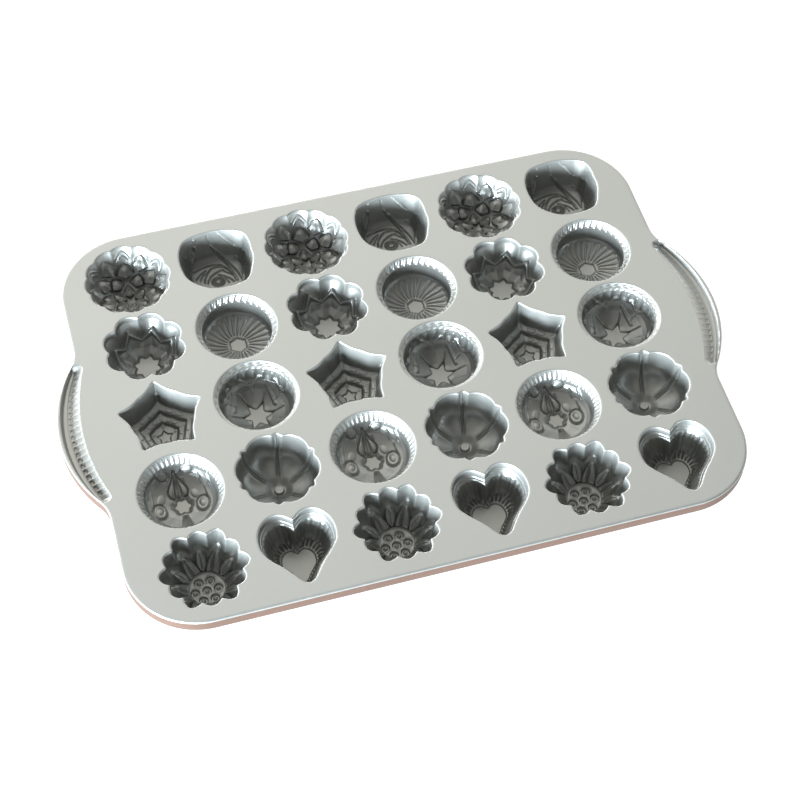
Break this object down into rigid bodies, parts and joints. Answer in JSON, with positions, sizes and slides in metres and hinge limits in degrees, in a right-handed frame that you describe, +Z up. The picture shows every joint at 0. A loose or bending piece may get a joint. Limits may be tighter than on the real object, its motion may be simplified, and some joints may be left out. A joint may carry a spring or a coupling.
{
  "type": "tea cake pan",
  "caption": "Cast aluminium baking pan with a grid of small moulded flower, star and heart cavities, a turned edge and crescent hand grips.",
  "frame": {"origin": "centre of the pan on the plane that the cup bottoms stand on", "axes": "+Z up out of the cavities, +X along the pan from grip to grip, +Y from the heart row towards the back row"},
  "size_m": [0.3934, 0.2702, 0.026],
  "materials": {
    "cast_pan": "satin silver non-stick on the top and inside the cups",
    "cast_coating": "satin pink-tan exterior coating on the edge and underside"
  },
  "bodies": {
    "root": {"cup_r1c1_zinnia": "cast_pan", "cup_r1c2_rose": "cast_pan", "cup_r1c3_zinnia": "cast_pan", "cup_r1c4_rose": "cast_pan", "cup_r1c5_zinnia": "cast_pan", "cup_r1c6_rose": "cast_pan", "cup_r2c1_lily": "cast_pan", "cup_r2c2_swirl": "cast_pan", "cup_r2c3_lily": "cast_pan", "cup_r2c4_swirl": "cast_pan", "cup_r2c5_lily": "cast_pan", "cup_r2c6_swirl": "cast_pan", "cup_r3c1_star": "cast_pan", "cup_r3c2_rosette": "cast_pan", "cup_r3c3_star": "cast_pan", "cup_r3c4_rosette": "cast_pan", "cup_r3c5_star": "cast_pan", "cup_r3c6_rosette": "cast_pan", "cup_r4c1_medallion": "cast_pan", "cup_r4c2_pumpkin": "cast_pan", "cup_r4c3_medallion": "cast_pan", "cup_r4c4_pumpkin": "cast_pan", "cup_r4c5_medallion": "cast_pan", "cup_r4c6_pumpkin": "cast_pan", "cup_r5c1_sunflower": "cast_pan", "cup_r5c2_heart": "cast_pan", "cup_r5c3_sunflower": "cast_pan", "cup_r5c4_heart": "cast_pan", "cup_r5c5_sunflower": "cast_pan", "cup_r5c6_heart": "cast_pan", "deck_row_1": "cast_pan", "deck_row_2": "cast_pan", "deck_row_3": "cast_pan", "deck_row_4": "cast_pan", "deck_row_5": "cast_pan", "rim_back": "cast_coating", "rim_front": "cast_coating", "grip_left": "cast_pan", "grip_right": "cast_pan"}
  },
  "joints": []
}
